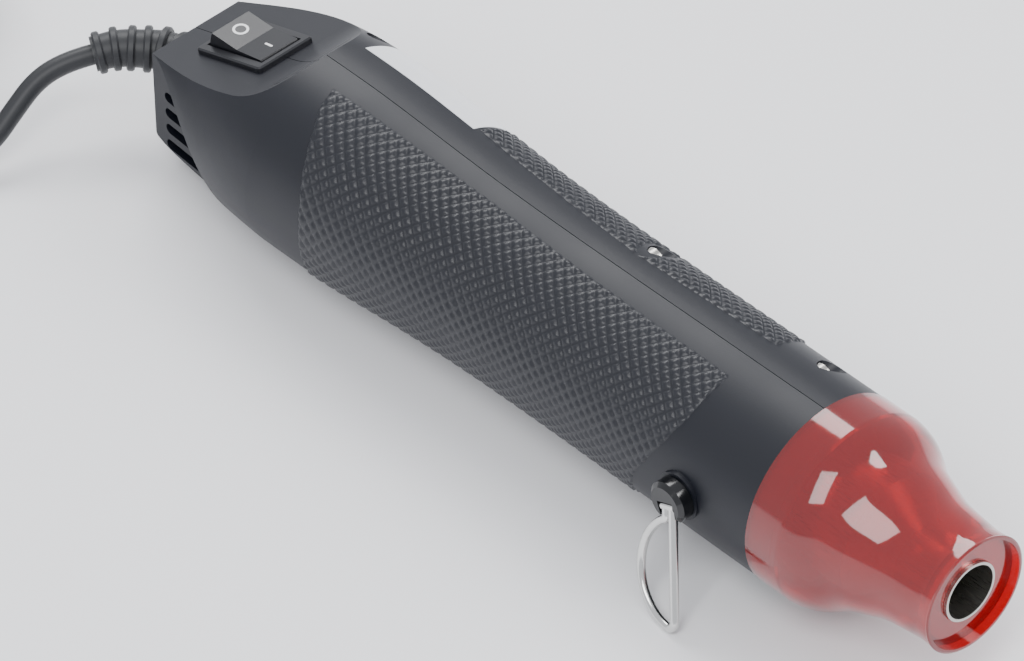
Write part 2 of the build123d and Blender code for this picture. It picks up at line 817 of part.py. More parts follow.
with BuildPart() as switch_terminals:
    for place in terminal_places:
        with BuildSketch(deck_plane.offset(-housing_depth - run_gap / 2)):
            with Locations((place, 0)):
                Rectangle(terminal_thick, terminal_width)
        extrude(amount=-terminal_length)
        with BuildSketch(Plane(origin=deck_plane.from_local_coords(
                (place - terminal_thick, 0, -housing_depth - terminal_length + terminal_width / 2)),
                x_dir=(0, 1, 0), z_dir=deck_plane.x_dir)):
            Circle(terminal_hole_r)
        extrude(amount=2 * terminal_thick, mode=Mode.SUBTRACT)

# wire stand
boss_origin = Vector(-boss_back, 0, 0)
sw, tl = radians(stand_swivel), radians(stand_tilt)
hinge_dir = Vector(cos(sw), 0, sin(sw))
hang_dir = Vector(sin(sw), 0, -cos(sw))
leg_dir = hang_dir * cos(tl) + Vector(0, 1, 0) * sin(tl)
hinge_at = boss_origin + hang_dir * hinge_drop + Vector(0, hinge_out, 0)
# local X runs along the hinge, local Y away from where the ring hangs, and Z outward
boss_plane = Plane(origin=boss_origin, x_dir=hinge_dir, z_dir=(0, 1, 0))
hang_sign = 1 if boss_plane.y_dir.dot(hang_dir) > 0 else -1
slot_half = 2 * wire_r + wire_gap
with BuildPart() as stand_boss:
    with BuildSketch(boss_plane.offset(pad_face + boss_seat_gap)):
        Circle(boss_r)
    extrude(amount=boss_face - pad_face - boss_seat_gap)
    chamfer(edges().sort_by(Axis.Y)[-1], length=boss_round)
    # slot for the ring, open on the side where it hangs
    with BuildSketch(boss_plane.offset(pad_face + boss_seat_gap + boss_base)):
        with Locations((0, hang_sign * (hinge_drop - roof_rise + overrun / 2))):
            Rectangle(2 * slot_half, overrun)
    extrude(amount=overrun, mode=Mode.SUBTRACT)
    # the rear ear is cut short so that the bow clears it
    with BuildSketch(boss_plane.offset(pad_face + boss_seat_gap + boss_base)):
        with Locations((-slot_half - overrun / 2, hang_sign * (hinge_drop + ear_drop + overrun / 2))):
            Rectangle(overrun + 2 * slot_half, overrun)
    extrude(amount=overrun, mode=Mode.SUBTRACT)
    # hole for the ring's cross pin
    with BuildSketch(Plane(origin=hinge_at - hinge_dir * (ring_pin_length / 2 + fit_gap), z_dir=hinge_dir)):
        Circle(ring_pin_r + run_gap)
    extrude(amount=ring_pin_length + 2 * fit_gap, mode=Mode.SUBTRACT)
    # spindle through the casing wall
    with BuildSketch(boss_plane.offset(pad_face + boss_seat_gap + lap)):
        Circle(spindle_r)
    extrude(amount=-(pad_face + boss_seat_gap + lap - pad_inner))
    with BuildSketch(boss_plane.offset(pad_inner - lap)):
        Circle(stand_screw_r + run_gap)
    extrude(amount=stand_screw_reach + lap, mode=Mode.SUBTRACT)

with BuildPart() as stand_washer:
    with BuildSketch(boss_plane.offset(pad_inner - washer_gap)):
        Circle(washer_r)
        Circle(stand_screw_r + run_gap, mode=Mode.SUBTRACT)
    extrude(amount=-washer_thick)
with BuildPart() as stand_screw:
    with BuildSketch(boss_plane.offset(pad_inner - washer_gap - washer_thick)):
        Circle(stand_screw_head_r)
    extrude(amount=-stand_screw_head_h)
    with BuildSketch(boss_plane.offset(pad_inner - washer_gap - washer_thick)):
        Circle(stand_screw_r)
    extrude(amount=stand_screw_reach)

# the ring: a straight leg, a tight corner and a bow that bends back to the hinge, in one wire
ring_plane = Plane(origin=hinge_at, x_dir=hinge_dir, z_dir=hinge_dir.cross(leg_dir))
ring_sign = 1 if ring_plane.y_dir.dot(leg_dir) > 0 else -1
leg_a = wire_r + leg_gap / 2


def ring_at(across, along):
    return (across, ring_sign * along)


def on_bow(across, along, reach):
    """The point where a circle centred here, `reach` from the bow's centre, touches the bow."""
    share = bow_r / reach
    return (bow_across + (across - bow_across) * share, bow_along + (along - bow_along) * share)


corner_a = leg_a - corner_r
corner_b = bow_along + sqrt((bow_r - corner_r) ** 2 - (corner_a - bow_across) ** 2)
root_a = -leg_a - root_r
root_b = bow_along - sqrt((bow_r + root_r) ** 2 - (root_a - bow_across) ** 2)
corner_end = on_bow(corner_a, corner_b, bow_r - corner_r)
root_end = on_bow(root_a, root_b, bow_r + root_r)
slant = sqrt(0.5)
with BuildPart() as stand_ring:
    with BuildLine(ring_plane) as ring_line:
        Line(ring_at(leg_a, 0), ring_at(leg_a, corner_b))
        ThreePointArc(ring_at(leg_a, corner_b), ring_at(corner_a + corner_r * slant, corner_b + corner_r * slant),
                      ring_at(*corner_end))
        ThreePointArc(ring_at(*corner_end), ring_at(bow_across - bow_r, bow_along), ring_at(*root_end))
        ThreePointArc(ring_at(*root_end), ring_at(root_a + root_r * slant, root_b + root_r * slant),
                      ring_at(-leg_a, root_b))
        Line(ring_at(-leg_a, root_b), ring_at(-leg_a, 0))
    with BuildSketch(Plane(origin=ring_line.wire() @ 0, z_dir=ring_line.wire() % 0)):
        Circle(wire_r)
    sweep(path=ring_line.wire())
    with BuildSketch(Plane(origin=hinge_at - hinge_dir * ring_pin_length / 2, z_dir=hinge_dir)):
        Circle(ring_pin_r)
    extrude(amount=ring_pin_length)
    with BuildSketch(Plane(origin=hinge_at - hinge_dir * 2 * wire_r, z_dir=hinge_dir)):
        Circle(hub_r)
    extrude(amount=4 * wire_r)

# blank rating label hugging the right rear of the casing
with BuildPart() as rating_label:
    with BuildSketch(Plane.XZ):
        with BuildLine():
            points = barrel_curve(-label_gap)
            Spline(points, tangents=[(-1, 0), (-1, 0)])
            rise = [(x, r + label_thick) for x, r in points]
            Spline(rise, tangents=[(-1, 0), (-1, 0)])
            Line(points[0], rise[0])
            end_low, end_high = (-tail_front, bulge_r + label_gap), (-tail_front, bulge_r + label_gap + label_thick)
            Line(points[-1], end_low)
            Line(rise[-1], end_high)
            Line(end_low, end_high)
        make_face()
    revolve(axis=Axis.X, revolution_arc=360)
    with BuildSketch(along_x(label_back + label_length)):
        with BuildLine():
            far = 2 * bulge_r
            first, last = radians(label_from), radians(label_to)
            Polyline((0, 0), (-far * sin(first), far * cos(first)), (-far * sin(last), far * cos(last)), close=True)
        make_face()
    extrude(amount=label_length, mode=Mode.INTERSECT)

# casing screws and clamp screws
with BuildPart() as casing_screws:
    for back in post_backs:
        for z in (-post_z, post_z):
            with BuildSketch(Plane.XZ.offset(screw_head_seat)):
                with Locations((-back, z)):
                    Circle(screw_head_r)
            extrude(amount=screw_head_h)
            with BuildSketch(Plane.XZ.offset(screw_head_seat)):
                with Locations((-back, z)):
                    Circle(screw_r)
            extrude(amount=-(screw_head_seat + screw_reach))
            with BuildSketch(Plane.XZ.offset(screw_head_seat + screw_head_h)):
                with Locations((-back, z)):
                    Rectangle(2 * screw_r, screw_r / 2)
                    Rectangle(screw_r / 2, 2 * screw_r)
            extrude(amount=-screw_socket, mode=Mode.SUBTRACT)

clamp_base = lead_z + lead_r + clamp_bite
with BuildPart() as cord_clamp:
    with BuildSketch(Plane.XY.offset(clamp_base)):
        with Locations((-clamp_back + clamp_length / 2, 0)):
            Rectangle(clamp_length, 2 * clamp_half - 2 * fit_gap)
            with Locations((0, -clamp_screw_y), (0, clamp_screw_y)):
                Circle(clamp_screw_r + fit_gap / 2, mode=Mode.SUBTRACT)
    extrude(amount=clamp_thick)
    # feet that reach down to the floor block
    with BuildSketch(Plane.XY.offset(lead_z + fit_gap)):
        with Locations((-clamp_back + clamp_length / 2, 0)):
            for s in (-1, 1):
                with Locations((0, s * clamp_screw_y)):
                    Rectangle(clamp_length, 2 * (clamp_half - clamp_screw_y) - 2 * fit_gap)
                    Circle(clamp_screw_r + fit_gap / 2, mode=Mode.SUBTRACT)
    extrude(amount=clamp_base - lead_z - fit_gap)
with BuildPart() as clamp_screws:
    for s in (-1, 1):
        with BuildSketch(Plane.XY.offset(clamp_base + clamp_thick)):
            with Locations((-clamp_back + clamp_length / 2, s * clamp_screw_y)):
                Circle(clamp_head_r)
        extrude(amount=clamp_head_h)
        with BuildSketch(Plane.XY.offset(clamp_base + clamp_thick)):
            with Locations((-clamp_back + clamp_length / 2, s * clamp_screw_y)):
                Circle(clamp_screw_r)
        extrude(amount=-(clamp_base + clamp_thick - lead_z + clamp_screw_reach - 2 * lap))


def lead_path(points, start, name):
    """Straight runs joined by tangent arcs, each as large as its two runs allow."""
    pts = [start + Vector(*p) for p in points]
    radii = []
    for a, b, c in zip(pts, pts[1:], pts[2:]):
        turn = radians((b - a).get_angle(c - b))
        radii.append(0.45 * min((b - a).length, (c - b).length) / tan(turn / 2))
    print(name, "radii", [round(r, 1) for r in radii])
    with BuildLine() as line:
        FilletPolyline(*pts, radius=radii)
    return line


# strain relief: inner flange, neck through the wall, ribbed and tapering outside
lead_entry = Vector(-tail_back, 0, lead_z)
relief_pts = [lead_entry + Vector(*p) for p in relief_route]
with BuildPart() as strain_relief:
    with BuildLine() as relief_line:
        FilletPolyline(*relief_pts, radius=[relief_bend_r, relief_tip_bend_r])
    relief_wire = relief_line.wire()
    relief_span = relief_wire.length
    with BuildSketch(Plane(origin=relief_wire @ 0, z_dir=relief_wire % 0)):
        Circle(relief_core_r)
    with BuildSketch(Plane(origin=relief_wire @ 1, z_dir=relief_wire % 1)):
        Circle(relief_tip_r)
    sweep(path=relief_wire, multisection=True)
    for n in range(relief_ribs):
        at = (relief_first + n * relief_pitch) / relief_span
        r = rib_r + (rib_tip_r - rib_r) * n / (relief_ribs - 1)
        rib_plane = Plane(origin=relief_wire @ at, z_dir=relief_wire % at)
        with BuildSketch(rib_plane.offset(-relief_rib / 2)):
            Circle(r - relief_rib_round)
        with BuildSketch(rib_plane.offset(-relief_rib / 2 + relief_rib_round)):
            Circle(r)
        loft()
        with BuildSketch(rib_plane.offset(-relief_rib / 2 + relief_rib_round)):
            Circle(r)
        extrude(amount=relief_rib - 2 * relief_rib_round)
        with BuildSketch(rib_plane.offset(relief_rib / 2 - relief_rib_round)):
            Circle(r)
        with BuildSketch(rib_plane.offset(relief_rib / 2)):
            Circle(r - relief_rib_round)
        loft()
    # shoulder against the casing, neck and inner flange
    with BuildSketch(along_x(tail_back)):
        with Locations((0, lead_z)):
            Circle(rib_r)
    extrude(amount=-(relief_first - relief_rib / 2))
    with BuildSketch(along_x(tail_back)):
        with Locations((0, lead_z)):
            Circle(relief_neck_r)
    extrude(amount=wall + fit_gap)
    with BuildSketch(along_x(tail_back - wall - fit_gap)):
        with Locations((0, lead_z)):
            Circle(relief_flange_r)
    extrude(amount=relief_flange)

with BuildPart() as inner_lead:
    with BuildSketch(along_x(tail_back - wall - fit_gap - relief_flange)):
        with Locations((0, lead_z)):
            Circle(lead_r)
    extrude(amount=inner_lead_length)

# the lead's free run down to the floor, its put-away coil, and the tail to the plug
run_line = lead_path(run_route, lead_entry, "run")
with BuildPart() as cord_run:
    with BuildSketch(Plane(origin=run_line.line @ 0, z_dir=run_line.line % 0)):
        Circle(lead_r)
    sweep(path=run_line.wire())
print("run volume ratio", round(cord_run.part.volume / (pi * lead_r ** 2 * run_line.wire().length), 4))

# the coil: spirals in and out in layers, and climbs a layer where the spiral turns back
coil_start = lead_entry + Vector(*run_route[-1]) - Vector(coil_end_run, 0, 0)
coil_centre = coil_start - Vector(0, coil_outer, 0)
coil_span = coil_layer_turns + coil_climb_turns
coil_total = coil_layers * coil_span - coil_climb_turns


def coil_at(turn):
    """Centre of the lead in the coil after this many turns."""
    n = min(int(turn / coil_span), coil_layers - 1)
    climb = max(turn - n * coil_span - coil_layer_turns, 0) / coil_climb_turns
    swing = (turn + coil_climb_turns / 2) % (2 * coil_span)
    inward = min(swing, 2 * coil_span - swing) - coil_climb_turns / 2
    r = coil_outer - inward * coil_step
    a = 2 * pi * (turn + 1 / 4)
    return coil_centre + Vector(r * cos(a), r * sin(a), coil_rise * (n + (1 - cos(pi * climb)) / 2))


def coil_dir(turn):
    """Direction of the lead there: square to the radius at both ends, where the straight ends join."""
    a = 2 * pi * (turn + 1 / 4)
    if turn in (0, coil_total):
        return Vector(-sin(a), cos(a), 0)
    near = 1 / 360
    return (coil_at(turn + near) - coil_at(turn - near)).normalized()


quarters = [n / 4 for n in range(int(4 * coil_total) + 1)]
coil_end = coil_at(coil_total)
with BuildPart() as cord_coil:
    with BuildLine() as coil_line:
        Line(coil_start - coil_dir(0) * coil_end_run, coil_start)
        add(arc_path([coil_at(q) for q in quarters], [coil_dir(q) for q in quarters]))
        Line(coil_end, coil_end + coil_dir(coil_total) * coil_end_run)
    with BuildSketch(Plane(origin=coil_line.wire() @ 0, z_dir=coil_line.wire() % 0)):
        Circle(lead_r)
    sweep(path=coil_line.wire())
coil_length = coil_line.wire().length
samples = [edge @ (k / 8) for edge in coil_line.wire().edges() for k in range(8)]
per_turn = 64
least = min((samples[i] - samples[j]).length for i in range(len(samples))
            for j in range(i + per_turn // 2, len(samples)))
print("coil least gap", round(least - 2 * lead_r, 2), "length", round(coil_length, 1),
      "volume ratio", round(cord_coil.part.volume / (pi * lead_r ** 2 * coil_length), 4))

# the tail from the coil's end to the plug
tail_start = coil_end + coil_dir(coil_total) * coil_end_run
tail_line = lead_path(tail_route, tail_start, "tail")
with BuildPart() as cord_tail:
    with BuildSketch(Plane(origin=tail_line.line @ 0, z_dir=tail_line.line % 0)):
        Circle(lead_r)
    sweep(path=tail_line.wire())
print("tail volume ratio", round(cord_tail.part.volume / (pi * lead_r ** 2 * tail_line.wire().length), 4))
print("lead length", round(relief_span + run_line.wire().length + coil_length + tail_line.wire().length, 1))

# tie round the coil
with BuildPart() as cord_tie:
    mid_r = coil_outer - (coil_layer_turns + coil_climb_turns / 2) * coil_step / 2
    bundle_w = (coil_layer_turns + coil_climb_turns / 2) * coil_step + 2 * lead_r + 2 * tie_gap
    bundle_h = (coil_layers - 1) * coil_rise + 2 * lead_r + 2 * tie_gap
    tie_plane = Plane(origin=coil_centre + Vector(-tie_width / 2, mid_r, (coil_layers - 1) * coil_rise / 2),
                      x_dir=(0, 1, 0), z_dir=(1, 0, 0))
    with BuildSketch(tie_plane):
        RectangleRounded(bundle_w + 2 * tie_thick, bundle_h + 2 * tie_thick, tie_thick + tie_gap + lead_r)
        RectangleRounded(bundle_w, bundle_h, tie_gap + lead_r, mode=Mode.SUBTRACT)
    extrude(amount=tie_width)

# plug: moulded body with two flat blades
plug_end = tail_start + Vector(*tail_route[-1])
plug_dir = (Vector(*tail_route[-1]) - Vector(*tail_route[-2])).normalized()
plug_plane = Plane(origin=plug_end, x_dir=plug_dir.cross(Vector(0, 0, 1)), z_dir=plug_dir)
with BuildPart() as plug_body:
    with BuildSketch(plug_plane):
        Circle(plug_neck_r)
    with BuildSketch(plug_plane.offset(plug_taper)):
        Circle(plug_neck_r + plug_neck_r / 2)
    loft()
    with BuildSketch(plug_plane.offset(plug_taper)):
        RectangleRounded(plug_width, plug_thick, plug_round)
    extrude(amount=plug_length)
    chamfer(faces().sort_by(lambda f: plug_plane.to_local_coords(f.center()).Z)[-1].edges(), length=plug_round / 4)
    with BuildSketch(plug_plane.offset(plug_taper + plug_length - blade_root)):
        with Locations((-blade_spacing / 2, 0), (blade_spacing / 2, 0)):
            Rectangle(blade_gauge + fit_gap, blade_height + fit_gap)
    extrude(amount=2 * blade_root, mode=Mode.SUBTRACT)
with BuildPart() as plug_blades:
    with BuildSketch(plug_plane.offset(plug_taper + plug_length - blade_root + run_gap)):
        with Locations((-blade_spacing / 2, 0), (blade_spacing / 2, 0)):
            Rectangle(blade_gauge, blade_height)
    extrude(amount=blade_root + blade_reach)
    tip = plug_end + plug_dir * (plug_taper + plug_length + blade_reach - blade_hole_in)
    with BuildSketch(Plane(origin=tip - plug_plane.x_dir * blade_spacing, z_dir=plug_plane.x_dir)):
        Circle(blade_hole_r)
    extrude(amount=2 * blade_spacing, mode=Mode.SUBTRACT)

# wires from the rectifier forward to the heater
with BuildPart() as heater_leads:
    for s in (-1, 1):
        y_out = -sqrt(heater_lead_r ** 2 - heater_lead_z ** 2)
        disc_x = -(sleeve_start + sleeve_span + run_gap)
        board_x = -board_back - board_thick - run_gap
        route = [Vector(disc_x, -heater_lead_in, s * heater_lead_z),
                 Vector(disc_x - 2 * holder_length, -heater_lead_in, s * heater_lead_z),
                 Vector(disc_x - 4 * holder_length, y_out, s * heater_lead_z),
                 Vector(board_x - 2 * board_gap, y_out, s * heater_lead_z),
                 Vector(board_x - 2 * board_gap, -board_r + 2 * wire_lead_r, s * heater_lead_z),
                 Vector(board_x, -board_r + 2 * wire_lead_r, s * heater_lead_z)]
        with BuildLine() as wire_line:
            FilletPolyline(*route, radius=[5 * wire_lead_r, 5 * wire_lead_r, 2.5 * wire_lead_r,
                                           2.5 * wire_lead_r])
        with BuildSketch(Plane(origin=wire_line.line @ 0, z_dir=wire_line.line % 0)):
            Circle(wire_lead_r)
        sweep(path=wire_line.wire())

named = {
    "left_shell": left_shell.part, "right_shell": right_shell.part, "nozzle_cover": nozzle_cover.part,
    "outlet_tube": outlet_tube.part, "heater_barrel": heater_barrel, "mica_sleeve": mica_sleeve,
    "mica_cross": mica_cross.part, "mica_discs": mica_discs.part, "heating_coil": heating_coil.part,
    "thermal_fuse": thermal_fuse.part, "front_bush": front_bush.part, "heater_holder": heater_holder.part,
    "heater_leads": heater_leads.part, "fan_shroud": fan_shroud.part, "fan_wheel": fan_wheel.part,
    "motor_shaft": motor_shaft.part, "motor_armature": motor_armature.part, "motor_can": motor_can.part,
    "motor_magnets": motor_magnets.part, "motor_end_bell": motor_end_bell.part,
    "rectifier_board": rectifier_board.part, "rectifier_diodes": rectifier_diodes.part,
    "switch_housing": switch_housing.part, "rocker": rocker.part, "switch_terminals": switch_terminals.part,
    "stand_boss": stand_boss.part, "stand_washer": stand_washer.part, "stand_screw": stand_screw.part,
    "stand_ring": stand_ring.part, "rating_label": rating_label.part, "casing_screws": casing_screws.part,
    "cord_clamp": cord_clamp.part, "clamp_screws": clamp_screws.part, "strain_relief": strain_relief.part,
    "inner_lead": inner_lead.part, "cord_run": cord_run.part, "cord_coil": cord_coil.part,
    "cord_tail": cord_tail.part, "cord_tie": cord_tie.part, "plug_body": plug_body.part,
    "plug_blades": plug_blades.part,
}
for name, piece in named.items():
    piece.label = name
    export_step(piece, f"parts/{name}.step")
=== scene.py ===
"""Looks for an embossing heat tool: finishes for its solid pieces, a knurled grip, switch marks, its lead and a stage."""

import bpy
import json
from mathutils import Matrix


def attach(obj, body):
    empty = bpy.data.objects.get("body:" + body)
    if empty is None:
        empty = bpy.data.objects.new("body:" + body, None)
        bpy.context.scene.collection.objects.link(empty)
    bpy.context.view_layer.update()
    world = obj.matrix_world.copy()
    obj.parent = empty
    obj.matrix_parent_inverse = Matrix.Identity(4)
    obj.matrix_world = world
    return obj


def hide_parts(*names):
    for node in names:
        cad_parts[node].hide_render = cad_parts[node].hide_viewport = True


bl_info = {
    "name": "Embossing heat tool",
    "version": (1, 0, 0),
    "blender": (4, 5, 0),
    "location": "View3D > Sidebar > Heat tool",
    "description": "Dresses an embossing heat tool: plastics, steel, knurled grip, switch marks, lead and stage",
    "category": "Object",
}

import json
import math

import bpy
import numpy as np
from bpy.props import FloatProperty, FloatVectorProperty, IntProperty, PointerProperty
from mathutils import Matrix, Vector
from mathutils.bvhtree import BVHTree

MM = 0.001
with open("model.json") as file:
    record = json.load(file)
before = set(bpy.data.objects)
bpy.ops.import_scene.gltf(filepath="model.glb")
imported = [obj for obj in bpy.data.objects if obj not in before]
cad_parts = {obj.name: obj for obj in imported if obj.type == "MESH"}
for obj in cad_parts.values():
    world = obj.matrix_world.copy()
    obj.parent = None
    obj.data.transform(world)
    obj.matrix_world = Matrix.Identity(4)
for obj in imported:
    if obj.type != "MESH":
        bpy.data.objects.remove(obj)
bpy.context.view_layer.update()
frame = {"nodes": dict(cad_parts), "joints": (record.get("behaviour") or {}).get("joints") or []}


def linear(hex_colour):
    """sRGB hex to linear: c/12.92 below 0.04045, else ((c + 0.055)/1.055)^2.4."""
    parts = [int(hex_colour[i:i + 2], 16) / 255 for i in (1, 3, 5)]
    return tuple(c / 12.92 if c <= 0.04045 else ((c + 0.055) / 1.055) ** 2.4 for c in parts)


def colour_property(name, description, hex_colour):
    return FloatVectorProperty(name=name, description=description, subtype="COLOR", size=3, min=0, max=1,
                               default=linear(hex_colour))


class HeatToolSizes(bpy.types.PropertyGroup):
    knurl_pitch: FloatProperty(name="Knurl pitch", description="Distance between grip grooves", unit="LENGTH",
                               default=2.15 * MM, min=1 * MM, max=5 * MM)
    knurl_height: FloatProperty(name="Knurl height", description="Height of the grip's small pyramids", unit="LENGTH",
                                default=0.42 * MM, min=0.05 * MM, max=1 * MM)
    knurl_step: FloatProperty(name="Knurl mesh step", description="Distance between the grip mesh's points",
                              unit="LENGTH", default=0.31 * MM, min=0.1 * MM, max=2 * MM)
    grip_low_edge: FloatProperty(name="Grip lower edge", description="Angle from the top where the grip ends below",
                                 subtype="ANGLE", default=math.radians(163), min=1.6, max=3.1)
    mark_width: FloatProperty(name="Mark ring", description="Outer diameter of the switch's ring mark", unit="LENGTH",
                              default=3.5 * MM, min=1 * MM, max=6 * MM)
    mark_line: FloatProperty(name="Mark line", description="Line width of the switch marks", unit="LENGTH",
                             default=0.55 * MM, min=0.2 * MM, max=1 * MM)
    lead_diameter: FloatProperty(name="Lead diameter", description="Outer diameter of the mains lead", unit="LENGTH",
                                 default=4.5 * MM, min=3 * MM, max=8 * MM)
    turn_points: IntProperty(name="Points per turn", description="Points of the lead's line in one turn of its coil",
                             default=16, min=12, max=32)


class HeatToolColours(bpy.types.PropertyGroup):
    casing: colour_property("Casing", "Blue-black moulded casing", "#0B0E18")
    cover: colour_property("Cover", "See-through red nozzle cover", "#C4040C")
    steel: colour_property("Steel", "Stainless steel of tube and barrel", "#B9B7B2")
    wire: colour_property("Stand wire", "Bright plated wire", "#D4D4D2")
    lead: colour_property("Lead", "Dark grey flexible PVC", "#14161B")
    label: colour_property("Label", "Blank white label", "#E6E8EC")
    mark: colour_property("Marks", "White pad print on the rocker", "#EDEDED")


# finishes

def add_node(tree, kind, settings=None, **links):
    """Adds one shader node, sets its values and links its sockets from (node, socket) pairs."""
    made = tree.nodes.new(kind)
    for key, value in (settings or {}).items():
        if hasattr(made, key):
            setattr(made, key, value)
        else:
            made.inputs[key].default_value = value
    for key, source in links.items():
        tree.links.new(source[0].outputs[source[1]], made.inputs[key.replace("_", " ")])
    return made


def finish_of(name, base, roughness, grain_mm, bump_mm, tint=0.06, rough_spread=0.05, **shader):
    """A finish whose colour and gloss vary with a broad noise 22 mm across, and whose surface varies with a noise of a
    real grain size.

    Colour is mixed between base*(1 - tint) and base*(1 + tint), roughness between its ends, both by the broad noise,
    and the grain noise lifts the surface by bump_mm.
    """
    made = bpy.data.materials.new(name)
    made.use_nodes = True
    tree = made.node_tree
    tree.nodes.clear()
    place = add_node(tree, "ShaderNodeTexCoord")
    grain = add_node(tree, "ShaderNodeTexNoise", {"Scale": 1 / (grain_mm * MM), "Detail": 3.0}, Vector=(place, "Object"))
    broad = add_node(tree, "ShaderNodeTexNoise", {"Scale": 1 / (22 * MM), "Detail": 2.0}, Vector=(place, "Object"))
    dark = tuple(c * (1 - tint) for c in base) + (1,)
    light = tuple(min(c * (1 + tint), 1) for c in base) + (1,)
    paint = add_node(tree, "ShaderNodeMix", {"data_type": "RGBA"})
    paint.inputs[6].default_value = dark
    paint.inputs[7].default_value = light
    tree.links.new(broad.outputs["Fac"], paint.inputs[0])
    gloss = add_node(tree, "ShaderNodeMapRange", {"To Min": roughness - rough_spread, "To Max": roughness + rough_spread},
                     Value=(broad, "Fac"))
    relief = add_node(tree, "ShaderNodeBump", {"Strength": 0.6, "Distance": bump_mm * MM}, Height=(grain, "Fac"))
    surface = add_node(tree, "ShaderNodeBsdfPrincipled", shader, Roughness=(gloss, "Result"), Normal=(relief, "Normal"))
    tree.links.new(paint.outputs[2], surface.inputs["Base Color"])
    add_node(tree, "ShaderNodeOutputMaterial", Surface=(surface, "BSDF"))
    return made


def brushed_finish(name, base, roughness, line_mm, axis_scale, **shader):
    """Metal with fine lines: noise stretched along one axis roughens and lifts the surface."""
    made = bpy.data.materials.new(name)
    made.use_nodes = True
    tree = made.node_tree
    tree.nodes.clear()
    place = add_node(tree, "ShaderNodeTexCoord")
    stretch = add_node(tree, "ShaderNodeMapping", {"Scale": axis_scale}, Vector=(place, "Object"))
    lines = add_node(tree, "ShaderNodeTexNoise", {"Scale": 1 / (line_mm * MM), "Detail": 4.0}, Vector=(stretch, "Vector"))
    gloss = add_node(tree, "ShaderNodeMapRange", {"To Min": roughness - 0.08, "To Max": roughness + 0.1},
                     Value=(lines, "Fac"))
    relief = add_node(tree, "ShaderNodeBump", {"Strength": 0.3, "Distance": 0.01 * MM}, Height=(lines, "Fac"))
    surface = add_node(tree, "ShaderNodeBsdfPrincipled", dict({"Metallic": 1.0}, **shader),
                       Roughness=(gloss, "Result"), Normal=(relief, "Normal"))
    surface.inputs["Base Color"].default_value = tuple(base) + (1,)
    add_node(tree, "ShaderNodeOutputMaterial", Surface=(surface, "BSDF"))
    return made


def make_finishes():
    c = bpy.context.scene.heat_tool_colours
    return {
        # ABS moulded on a spark-eroded tool: satin with a grain too fine to show, drawn at 0.35 mm
        "spark_eroded_abs": finish_of("spark_eroded_abs", c.casing, 0.46, 0.35, 0.02, tint=0.1,
                                      **{"IOR": 1.53, "Specular IOR Level": 0.4}),
        # the same ABS on the knurl, rubbed a little glossier on its tips
        "knurled_abs": finish_of("knurled_abs", c.casing, 0.4, 0.5, 0.01, tint=0.12, **{"IOR": 1.53}),
        # polished polycarbonate, clear red all through: sharp reflections, light glows in it
        "polished_red_polycarbonate": finish_of("polished_red_polycarbonate", c.cover, 0.07, 9.0, 0.02, tint=0.04,
                                                rough_spread=0.02, **{"IOR": 1.585, "Transmission Weight": 0.78,
                                                                      "Coat Weight": 0.4, "Coat Roughness": 0.03}),
        # stainless tube, drawn along its length: fine lines blur the reflections across them
        "drawn_stainless": brushed_finish("drawn_stainless", c.steel, 0.28, 0.25, (0.05, 1, 1)),
        # nickel-plated spring wire: nearly a mirror
        "plated_wire": brushed_finish("plated_wire", c.wire, 0.16, 0.4, (1, 1, 0.1)),
        # nylon switch mouldings: tight satin
        "moulded_nylon": finish_of("moulded_nylon", linear("#15161B"), 0.34, 0.3, 0.012, **{"IOR": 1.53}),
        # polished black ABS of the stand boss
        "polished_black_abs": finish_of("polished_black_abs", linear("#0C0D10"), 0.16, 0.8, 0.006, **{"IOR": 1.53}),
        # flexible PVC of the lead and its relief: dull satin with extrusion marks
        "extruded_pvc": finish_of("extruded_pvc", c.lead, 0.5, 0.6, 0.03, **{"IOR": 1.53, "Sheen Weight": 0.1}),
        # mica board: pale flakes pressed into sheet
        "pressed_mica": finish_of("pressed_mica", linear("#B9A988"), 0.55, 1.2, 0.04, tint=0.2, **{"IOR": 1.58}),
        # heat-resistant filled nylon inside the tool
        "filled_nylon": finish_of("filled_nylon", linear("#3A3B3F"), 0.6, 0.4, 0.02, **{"IOR": 1.53}),
        # resistance wire, oxidised dull brown by heat
        "oxidised_nichrome": finish_of("oxidised_nichrome", linear("#6E625A"), 0.45, 0.3, 0.01, **{"Metallic": 1.0}),
        # glass-epoxy circuit board with a lacquer
        "lacquered_board": finish_of("lacquered_board", linear("#4C5A30"), 0.35, 0.7, 0.01, **{"IOR": 1.55}),
        # sintered ferrite: dull charcoal
        "sintered_ferrite": finish_of("sintered_ferrite", linear("#2B2B2C"), 0.7, 0.5, 0.03, **{"IOR": 1.6}),
        # glass-sleeved lead wire, brick red
        "sleeved_wire": finish_of("sleeved_wire", linear("#8E3A2A"), 0.6, 0.4, 0.03, **{"IOR": 1.5}),
        # white fan nylon
        "white_nylon": finish_of("white_nylon", linear("#C9C8C0"), 0.45, 0.4, 0.01, **{"IOR": 1.53}),
        # tinned brass blades
        "stamped_brass": brushed_finish("stamped_brass", linear("#CFAE62"), 0.25, 0.3, (1, 0.1, 1)),
        # blank polyester label: flat white under a thin film
        "film_label": finish_of("film_label", c.label, 0.38, 0.5, 0.004, tint=0.02, **{"IOR": 1.5, "Coat Weight": 0.2}),
        # white pad-print ink
        "pad_print": finish_of("pad_print", c.mark, 0.5, 0.3, 0.004, tint=0.02, **{"IOR": 1.5}),
    }


